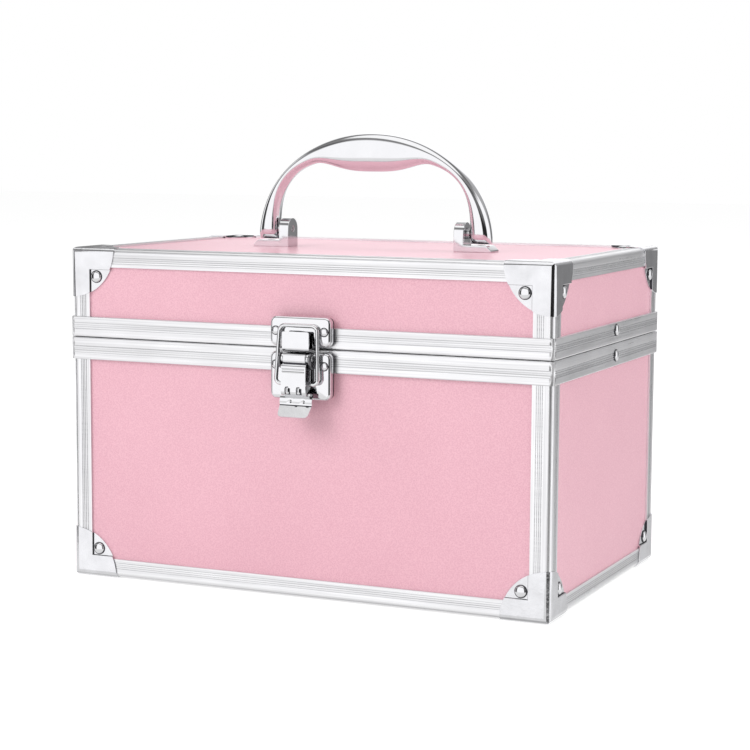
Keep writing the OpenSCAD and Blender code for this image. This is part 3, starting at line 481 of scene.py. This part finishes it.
def domed_rivets(n):
    """Over each rivet head of the node, a dome with a turned edge that lies in shadow."""
    bm = bmesh.new()
    bm.from_mesh(nodes[n].data)
    bmesh.ops.remove_doubles(bm, verts=bm.verts, dist=WELD)
    verts, faces, index = [], [], []
    middle = (0, MID_Y, MID_Z)
    for co in islands(bm):
        mid = (co.max(0) + co.min(0)) / 2
        size = co.max(0) - co.min(0)
        axis = min(range(3), key=lambda i: abs(size[(i + 1) % 3] - size[(i + 2) % 3]))
        p, q = [i for i in range(3) if i != axis]
        out = 1 if mid[axis] > middle[axis] else -1
        tip = (co[:, axis] * out).max() * out
        head = co[np.abs(co[:, axis] - tip) < 1.6]
        away = np.hypot(head[:, p] - mid[p], head[:, q] - mid[q])
        big = away.max()
        high = np.abs(head[away > big - NEAR][:, axis] - tip).max()
        if not (1.5 < big < 4 and 0.3 < high < 1.5):
            continue
        base = tip - out * high
        profile = dome_profile(big, high)
        start = len(verts)
        for r, h in profile:
            for k in range(RIVET_SIDES):
                a, c = 2 * math.pi * k / RIVET_SIDES, [0, 0, 0]
                c[axis] = base + out * h
                c[p], c[q] = mid[p] + r * math.cos(a), mid[q] + r * math.sin(a)
                verts.append(c)
        for i in range(len(profile) - 1):
            low, up = start + i * RIVET_SIDES, start + (i + 1) * RIVET_SIDES
            for k in range(RIVET_SIDES):
                m = (k + 1) % RIVET_SIDES
                faces.append((low + k, low + m, up + m, up + k))
                index.append(1 if i < TURNED_BANDS else 0)
        last = start + (len(profile) - 1) * RIVET_SIDES
        faces.append(tuple(last + k for k in range(RIVET_SIDES)))
        faces.append(tuple(start + k for k in reversed(range(RIVET_SIDES))))
        index += [0, 0]
    bm.free()
    o = shaded(closed(n + "_domed", verts, faces, (CHROME, CREVICE), index), 50)
    place(o, body_of[n], "chrome", None)


EASE = {"cap": 0.14, "rivets": 0, "rail": 0, "rim": 0, "posts": 0, "latch": 0.15,
        "handle_bracket": 0.4, "hinge": 0.12, "stay": 0.15, "clips": 0.15, "screws": 0.08,
        "pins": 0.08}  # width of the eased edges, by a word in the node's name
SHAPED = ("handle_bow", "latch_bail", "latch_lever", "latch_keeper",
          "latch_base_plate")  # nodes whose visible pieces are built below
for n in nodes:
    kind = next((k for k in EASE if k in n), None)
    if not kind or n in SHAPED or n.endswith("lining"):
        continue
    eased(n, EASE[kind])
    if n.endswith("rivets"):
        domed_rivets(n)


# ---- handle ----

def lofted(name, rings, smooth=40):
    """A closed skin over rings with the same number of points."""
    n, last = len(rings[0]), len(rings) - 1
    faces = [(i * n + k, i * n + (k + 1) % n, (i + 1) * n + (k + 1) % n, (i + 1) * n + k)
             for i in range(last) for k in range(n)]
    faces += [tuple(range(n))[::-1], tuple(last * n + k for k in range(n))]
    return shaded(closed(name, [p for ring in rings for p in ring], faces), smooth)


def signed_pow(v, p):
    return math.copysign(abs(v) ** p, v)


def handle_bow():
    x0, pivot_z = 1.2, 171.0
    half_w, rise = 63.4, 54.0  # outer outline: an ellipse over the spring line
    inner_w, inner_rise, square = 52.5, 40.7, 3.5  # inner outline: squarer
    swell, swell_half = 5.7, 32.0  # the grip hangs down in the middle
    foot_d, grip_d, foot_r = 9.8, 15.0, 5.2  # depth of feet and grip, a foot's rounding
    spring = pivot_z - 5.6
    sides = 48

    def outer(a):
        return Vector((half_w * math.cos(a), rise * math.sin(a)))

    def inner(a):
        t = math.atan2(rise * math.sin(a), half_w * math.cos(a))
        r = ((abs(math.cos(t)) / inner_w) ** square
             + (math.sin(t) / inner_rise) ** square) ** (-1 / square)
        x = r * math.cos(t)
        dip = 0
        if abs(x) < swell_half:
            dip = swell * (1 + math.cos(math.pi * (abs(x) / swell_half) ** 1.6)) / 2
        return Vector((x, r * math.sin(t) - dip))

    def ring(p, q, d, leg=1.0):
        """Section between outer point p and inner point q, d deep; rounder where leg is 1."""
        pts = []
        over_high, over_wide, under = 0.55 + 0.25 * leg, 0.6 + 0.25 * leg, 0.85
        for k in range(sides):
            a = 2 * math.pi * k / sides
            c, s = math.cos(a), math.sin(a)
            m = (p + q) / 2 + signed_pow(c, under if c < 0 else over_high) * (p - q) / 2
            y = MID_Y + signed_pow(s, under if c < 0 else over_wide) * d / 2
            pts.append((x0 + m[0], y, spring + m[1]))
        return pts

    def foot(side, t):
        h = pivot_z - spring - foot_r * math.sin(t)
        out = half_w * math.sqrt(1 - (h / rise) ** 2)
        within = inner_w * (1 - (h / inner_rise) ** square) ** (1 / square)
        return ring(Vector((side * out, h)), Vector((side * within, h)),
                    min(foot_d, 2 * foot_r * math.cos(t)))

    turns = [math.radians(t) for t in (78, 72, 66, 60, 54, 48, 42, 36, 31, 26, 20)]
    steps = 150
    angles = [math.radians(6.5 + 167 * i / steps) for i in range(steps + 1)]
    rings = [foot(1, t) for t in turns]
    rings += [ring(outer(a), inner(a), foot_d + (grip_d - foot_d) * math.sin(a) ** 3,
                   math.cos(a) ** 2) for a in angles]
    rings += [foot(-1, t) for t in reversed(turns)]
    return lofted("handle_bow_shaped", rings)


place(handle_bow(), "handle", "chrome", CHROME_HANDLE, "handle_bow")


# ---- latch ----

LATCH_X, BOARD_Y = 2.7, -75.55  # middle of the latch, and the plane that it is riveted on


def at_latch(x, u, z):
    """Place in the frame of a point x to the right, u out of the board and z up."""
    return (LATCH_X + x, BOARD_Y - u, z)


def latch_bail():
    """Wire bent to a loop whose legs draw together towards the top."""
    wire_r, sides, arc_steps = 0.95, 24, 14
    low, top = Vector((10.0, 103.7)), Vector((8.1, 130.65))  # out and up
    low_x, top_x, end_x = 10.7, 9.6, 5.15
    low_r, top_r = 2.2, 3.0
    reach = (top - low).length
    lean = (top - low) / reach
    splay = math.atan((low_x - top_x) / reach)
    bend = Vector((low_x - low_r, low_r))
    leg0 = Vector((bend[0] + low_r * math.cos(splay), low_r * (1 + math.sin(splay))))
    leg_l = (reach - top_r * (1 - math.sin(splay)) - leg0[1]) / math.cos(splay)
    leg1 = leg0 + leg_l * Vector((-math.sin(splay), math.cos(splay)))
    turn = leg1 - top_r * Vector((math.cos(splay), math.sin(splay)))

    def arc(c, rad, a0, a1):
        angles = [a0 + (a1 - a0) * i / arc_steps for i in range(arc_steps + 1)]
        return [c + rad * Vector((math.cos(a), math.sin(a))) for a in angles]

    half = [Vector((end_x, 0))]
    half += arc(bend, low_r, -math.pi / 2, splay) + arc(turn, top_r, splay, math.pi / 2)
    path = half + [Vector((-p[0], p[1])) for p in reversed(half)]
    rings = []
    for i, p in enumerate(path):
        d = (path[min(i + 1, len(path) - 1)] - path[max(i - 1, 0)]).normalized()
        ring = []
        for k in range(sides):
            a = 2 * math.pi * k / sides
            q = p + wire_r * math.cos(a) * Vector((d[1], -d[0]))
            u, z = low + lean * q[1] + Vector((lean[1], -lean[0])) * wire_r * math.sin(a)
            ring.append(at_latch(q[0], u, z))
        rings.append(ring)
    return lofted("latch_bail_shaped", rings)


place(latch_bail(), "latch_bail_body", "chrome", CHROME_HANDLE, "latch_bail")


def arc_points(c, r, a0, a1, n):
    """Points of an arc about c from angle a0 to a1, in degrees."""
    angles = [math.radians(a0 + (a1 - a0) * i / n) for i in range(n + 1)]
    return [(c[0] + r * math.cos(a), c[1] + r * math.sin(a)) for a in angles]


def rounded_outline(w, h, r):
    corners = ((w / 2 - r, h / 2 - r, 0), (r - w / 2, h / 2 - r, 90),
               (r - w / 2, r - h / 2, 180), (w / 2 - r, r - h / 2, 270))
    return [p for cx, cz, a0 in corners for p in arc_points((cx, cz), r, a0, a0 + 90, 6)]


def pressed_plate(name, z0, h):
    """A shallow pan with a rounded edge; the foot of its wall lies in shadow."""
    width, corner_r, edge_r, wall_u, dark_bands = 31.2, 3, 1.5, 5.2, 3
    steps = [(0.3, 1.8), (0.3, 2.6), (0.1, 3.1), (0, 3.5), (0, wall_u)]  # inset and height
    steps += [(edge_r * (1 - math.cos(t)), wall_u + edge_r * math.sin(t))
              for t in (math.radians(9 * i) for i in range(10))]
    rings = [[at_latch(x, u, z0 + h / 2 + z)
              for x, z in rounded_outline(width - 2 * d, h - 2 * d, max(corner_r - d, 1.2))]
             for d, u in steps]
    o = lofted(name, rings, 46)
    o.data.materials.append(CHROME)
    o.data.materials.append(CREVICE)
    for i, f in enumerate(o.data.polygons):
        f.material_index = 1 if i < dark_bands * len(rings[0]) else 0
    return o


SHEET_T = 0.9


def side_plate(name, outline, x0):
    """A flat piece of sheet that stands beside the middle, with eased edges."""
    n = len(outline)
    verts = [at_latch(x, u, z) for x in (x0, x0 + SHEET_T) for u, z in outline]
    faces = [tuple(range(n)), tuple(range(n, 2 * n))[::-1]]
    faces += [(k, n + k, n + (k + 1) % n, (k + 1) % n) for k in range(n)]
    # painted shade: the side plate is made in the darkened chrome
    o = closed(name, verts, faces, (SHADED,))
    bm = bmesh.new()
    bm.from_mesh(o.data)
    bevelled(bm, hard_edges(bm), 0.15, 2)
    bm.to_mesh(o.data)
    bm.free()
    return shaded(o, 32)


def bent_sheet(name, path, half, step, columns, dark, relief=None, centre=0.0):
    """A strip bent along a path of (out, up) points.

    half gives its half width at a height and a distance along the path, dark says where its
    outer face lies in shadow, and relief how high its stamped shapes stand."""
    pts = [Vector(p) for p in path]
    dist = [0.0]
    for a, b in zip(pts, pts[1:]):
        dist.append(dist[-1] + (b - a).length)
    full = dist[-1]
    count = max(2, int(full / step))
    even = np.linspace(0, full, count)
    us = np.interp(even, dist, [p[0] for p in pts])
    zs = np.interp(even, dist, [p[1] for p in pts])
    tu, tz = np.gradient(us), np.gradient(zs)
    ln = np.hypot(tu, tz)
    nu, nz = -tz / ln, tu / ln
    halves = [half(zs[i], full * i / (count - 1), full) for i in range(count)]
    verts, faces, index = [], [], []
    for side in (1, -1):
        for i in range(count):
            for k in range(columns + 1):
                x = halves[i] * (2 * k / columns - 1)
                off = side * SHEET_T / 2 + (relief(x, zs[i], us[i]) if relief else 0)
                verts.append(at_latch(centre + x, us[i] + nu[i] * off, zs[i] + nz[i] * off))
    n = columns + 1
    m = count * n
    bright, crevice, inner = range(3)  # places in the list of materials
    for i in range(count - 1):
        for k in range(columns):
            a = i * n + k
            faces.append((a, a + 1, a + n + 1, a + n))
            x = halves[i] * (2 * (k + 0.5) / columns - 1)
            index.append(crevice if dark(x, zs[i]) else bright)
            # the inner face gets the darkened chrome of painted shade
            faces.append((m + a, m + a + n, m + a + n + 1, m + a + 1))
            index.append(inner)
    rim = list(range(n)) + [i * n + columns for i in range(1, count)]
    rim += [(count - 1) * n + k for k in range(columns - 1, -1, -1)]
    rim += [i * n for i in range(count - 2, 0, -1)]
    for a, b in zip(rim, rim[1:] + rim[:1]):
        faces.append((a, b, m + b, m + a))
        index.append(bright)
    return shaded(closed(name, verts, faces, (CHROME, CREVICE, SHADED), index), 40)


def cut_round(r, left):
    """How much a rounded corner of radius r takes off, a distance left before the end."""
    return r - math.sqrt(max(0, r * r - (r - left) ** 2)) if left < r else 0


def on_body(objs, body):
    for o in objs:
        place(o, body, "chrome", CHROME)


HOOK_BACK_U, HOOK_LEAF_U = 6.3, 10.15
hook_path = [(HOOK_LEAF_U, 127.9)] + arc_points((9.35, 120.15), 0.8, 360, 270, 5)
hook_path += arc_points((6.95, 120.0), 0.65, 270, 180, 5)
hook_path += [(HOOK_BACK_U, 120.2), (HOOK_BACK_U, 125.5)]
keeper = pressed_plate("keeper_plate", 120.7, 14)
hook = bent_sheet("keeper_hook", hook_path, lambda z, d, full: 6.9 - cut_round(0.7, d),
                  step=0.28, columns=30, dark=lambda x, z: z < 119.62, centre=-0.4)
on_body([keeper, hook], "lid")
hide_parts("latch_keeper")

PIVOT = (10.8, 115.7)  # the lever's pin, out and up
base = pressed_plate("latch_base", 95.9, 22.3)
ear = arc_points(PIVOT, 2.6, -20, 160, 12)
ear += [(6.0, 116.8), (6.0, 110.7), (10.6, 110.7), (12.9, 113.6)]
ears = [side_plate("latch_ear_" + w, ear, x0) for w, x0 in (("left", -8.2), ("right", 7.3))]
on_body([base] + ears, "case")
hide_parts("latch_base_plate")

LEVER_HALF, LEVER_FACE_U, TAB_TOP_Z = 6.35, 12, 94
TAB_LEAN = 38.25  # degrees out of the upright
SHOULDER_D = 18.2  # place along the path where the strip widens to the tab
lever_path = [(11.3, 113.7), (11.7, 113.0)] + arc_points((12.1, 111.5), 1.2, 90, 0, 6)
lever_path += arc_points((11.5, 100.4), 1.8, 0, -75, 7) + [(11.0, 98.75), (10.1, 98.9)]
lever_path += arc_points((10.15, 98.35), 0.55, 100, 195, 5)
lever_path += [(9.85, 97.6), (10.3, 96.7), (10.65, 95.7), (10.5, 94.6)]
lever_path += arc_points((11.4, TAB_TOP_Z), 0.9, 180, 180 + TAB_LEAN, 6) + [(14.67, 88.4)]
LOUVRE_X, LOUVRE_HALF, LOUVRE_Z = 2.9, 1.4, 101.0
DIMPLE_X, DIMPLE_Z = 3.4, 95.4


def lever_half(z, d, full):
    if d < SHOULDER_D:
        return LEVER_HALF
    down = min(1.0, (d - SHOULDER_D) / 2.6)
    wide = 6.9 + 1.4 * math.sqrt(1 - (1 - down) ** 2)
    if z < TAB_TOP_Z:
        wide -= 0.6 * (TAB_TOP_Z - z) / 5.6
    return wide - cut_round(1.9, full - d)


def lever_relief(x, z, u):
    """Two ribs across the top, two louvres near the lower end and two dimples by the tab."""
    h = 0.0
    if u > LEVER_FACE_U and z > 104 and abs(x) < 5.6:
        h += 0.24 * sum(math.exp(-((z - rib) / 0.25) ** 2) for rib in (110.9, 109.6))
    for s in (-1, 1):
        dx, dz = (x - s * LOUVRE_X) / LOUVRE_HALF, z - LOUVRE_Z
        if u > LEVER_FACE_U and abs(dx) < 1 and -1.3 < dz < 1.9:
            fade = 1 if dz < 0.4 else math.cos((dz - 0.4) / 1.5 * math.pi / 2)
            h += 0.6 * math.cos(dx * math.pi / 2) ** 2 * fade
        if 93.9 < z < 97.2 and u < 11.6:
            away = ((x - s * DIMPLE_X) / 0.9) ** 2 + ((z - DIMPLE_Z) / 0.7) ** 2
            h -= 0.5 * math.exp(-away)
    return h


def lever_dark(x, z):
    """The folds, the mouths of the louvres and their ends, which lie in shadow."""
    aside = min(abs(x - LOUVRE_X), abs(x + LOUVRE_X))
    mouth = aside < 1.3 and 99.3 < z < 99.8
    ends = 0.8 < aside < 1.45 and 99.3 < z < 102.0
    return mouth or ends or 93.3 < z < 93.95 or z > 112.95


lever = bent_sheet("lever_leaf", lever_path, lever_half, step=0.2, columns=84, dark=lever_dark,
                   relief=lever_relief)
flange = [(13.1, 111.4), (12.3, 112.6), (9.0, 112.6), (8.0, 111.6), (8.0, 102.1), (9.0, 101.1),
          (12.3, 99.5), (13.1, 100.1)]
flanges = [side_plate("lever_flange_" + w, flange, x0)
           for w, x0 in (("left", -LEVER_HALF), ("right", LEVER_HALF - SHEET_T))]


def barrel_ring(x, r, flat):
    """Section of the lever's rolled barrel, which is squarer where flat is set."""
    sides, e, pts = 36, 0.42 if flat else 1.0, []
    for k in range(sides):
        a = 2 * math.pi * k / sides
        u = PIVOT[0] + r * signed_pow(math.cos(a), e)
        pts.append(at_latch(x, u, PIVOT[1] + r * signed_pow(math.sin(a), e)))
    return pts


barrel_half = [(5.6, 2.08, True), (5.75, 1.9, True), (5.85, 1.9, False), (6.0, 2.05, False),
               (6.8, 2.05, False), (7.0, 1.95, False), (7.1, 1.75, False)]  # x, radius, flat
barrel_rings = [barrel_ring(-x, r, flat) for x, r, flat in reversed(barrel_half)]
barrel_rings += [barrel_ring(x, r, flat) for x, r, flat in barrel_half]
barrel = lofted("lever_barrel", barrel_rings, 50)
on_body([lever] + flanges + [barrel], "latch_lever_body")
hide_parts("latch_lever")


# ---- stage ----

FLOOR_SIZE, FLOOR_GLOW = 12, 0.45


def floor_paper():
    """White paper that the camera sees brighter than it lights the case."""
    m = bpy.data.materials.new("floor_paper")
    m.use_nodes = True
    nt = m.node_tree
    nt.nodes.clear()
    out = add(nt, "ShaderNodeOutputMaterial")
    diffuse = add(nt, "ShaderNodeBsdfDiffuse", [(0, (0.86, 0.86, 0.86, 1))])
    emit = add(nt, "ShaderNodeEmission", [(0, (1, 1, 1, 1)), (1, FLOOR_GLOW)])
    both = add(nt, "ShaderNodeAddShader")
    path = add(nt, "ShaderNodeLightPath")
    mix = add(nt, "ShaderNodeMixShader")
    nt.links.new(diffuse.outputs[0], both.inputs[0])
    nt.links.new(emit.outputs[0], both.inputs[1])
    nt.links.new(path.outputs["Is Camera Ray"], mix.inputs[0])
    nt.links.new(diffuse.outputs[0], mix.inputs[1])
    nt.links.new(both.outputs[0], mix.inputs[2])
    nt.links.new(mix.outputs[0], out.inputs[0])
    return m


floor_mesh = bpy.data.meshes.new("floor")
s = FLOOR_SIZE / 2
floor_mesh.from_pydata([(-s, -s, 0), (s, -s, 0), (s, s, 0), (-s, s, 0)], [], [(0, 1, 2, 3)])
floor = linked("floor", floor_mesh)
floor.data.materials.append(floor_paper())
floor.visible_glossy = False  # metal sees the world below it instead


# ---- light: metal sees a white tent with dark gaps between its panels ----

WHITE = (1, 1, 1, 1)
LIT_BY_WORLD, SEEN_BY_CAMERA, SEEN_BY_METAL = 0.62, 1.0, 1.2

world = bpy.data.worlds.new("studio")
bpy.context.scene.world = world
world.use_nodes = True
wn = world.node_tree
wn.nodes.clear()
w_out = add(wn, "ShaderNodeOutputWorld")
w_dir = add(wn, "ShaderNodeTexCoord")
w_xyz = add(wn, "ShaderNodeSeparateXYZ")
wn.links.new(w_dir.outputs["Generated"], w_xyz.inputs[0])
w_path = add(wn, "ShaderNodeLightPath")
w_light = add(wn, "ShaderNodeBackground", [(0, WHITE), (1, LIT_BY_WORLD)])
w_white = add(wn, "ShaderNodeBackground", [(0, WHITE), (1, SEEN_BY_CAMERA)])
w_tent = add(wn, "ShaderNodeBackground", [(1, SEEN_BY_METAL)])
azimuth = math_node(wn, "ARCTAN2", w_xyz.outputs["X"],
                    math_node(wn, "MULTIPLY", w_xyz.outputs["Y"], -1.0))


def tent_wall(rear_left, left, front_right, rear_right):
    """Brightness round the tent, by degrees from the front; the four gaps are given."""
    stops = [(-180, 1.0), (-152, 1.0), (-148, rear_left), (-104, rear_left), (-98, 1.0),
             (-82, 1.0), (-78, left), (-47, left), (-42, 1.0), (17, 1.0), (22, front_right),
             (78, front_right), (83, 1.0), (138, 1.0), (143, rear_right), (174, rear_right),
             (179, 1.0)]
    return ramp(wn, remap(wn, azimuth, -math.pi, math.pi, 0, 1),
                [((a + 180) / 360, (g, g, g * 1.01)) for a, g in stops])


def by_height(stops):
    """Brightness by the sine of the height over the horizon."""
    return ramp(wn, remap(wn, w_xyz.outputs["Z"], -1, 1, 0, 1),
                [((z + 1) / 2, (g, g, g)) for z, g in stops])


level = tent_wall(0.2, 0.05, 0.02, 0.21)
floor_to_ceiling = by_height([(-1, 0.4), (-0.87, 0.45), (-0.8, 0.72), (-0.3, 0.75),
                              (-0.22, 1.0), (0.5, 1.0), (0.62, 0.22), (0.79, 0.22),
                              (0.85, 1.0), (1, 1.0)])
on_wall = by_height([(-0.3, 0), (-0.22, 1), (0.6, 1), (0.75, 0)])
above = by_height([(0.16, 0), (0.28, 1)])
wall = blend(wn, "MIX", above, level, tent_wall(0.4, 0.3, 0.16, 0.4))
below = by_height([(-0.2, 1), (-0.09, 0)])
wall = blend(wn, "MIX", below, wall, tent_wall(0.5, 0.05, 0.02, 0.58))
wall = blend(wn, "MULTIPLY", 1.0, wall, floor_to_ceiling)
wn.links.new(blend(wn, "MIX", on_wall, floor_to_ceiling, wall), w_tent.inputs[0])
w_mix = add(wn, "ShaderNodeMixShader")
w_mix2 = add(wn, "ShaderNodeMixShader")
wn.links.new(w_path.outputs["Is Glossy Ray"], w_mix.inputs[0])
wn.links.new(w_light.outputs[0], w_mix.inputs[1])
wn.links.new(w_tent.outputs[0], w_mix.inputs[2])
wn.links.new(w_path.outputs["Is Camera Ray"], w_mix2.inputs[0])
wn.links.new(w_mix.outputs[0], w_mix2.inputs[1])
wn.links.new(w_white.outputs[0], w_mix2.inputs[2])
wn.links.new(w_mix2.outputs[0], w_out.inputs[0])

AIM = (0, 0, 0.1)


def lamp(name, at, size, power):
    """A square lamp turned to the case; metal doesn't see it."""
    d = bpy.data.lights.new(name, "AREA")
    d.energy = power
    d.size = size
    o = linked(name, d)
    o.location = at
    o.rotation_euler = (Vector(AIM) - Vector(at)).to_track_quat("-Z", "Y").to_euler()
    o.visible_glossy = False


lamp("key", (-1.0, -1.6, 1.3), 1.2, 19)
lamp("fill", (1.7, 0.1, 0.9), 1.2, 9.5)
lamp("top", (0.1, 0.2, 1.8), 1.4, 7)

bpy.context.scene.view_settings.view_transform = "Standard"
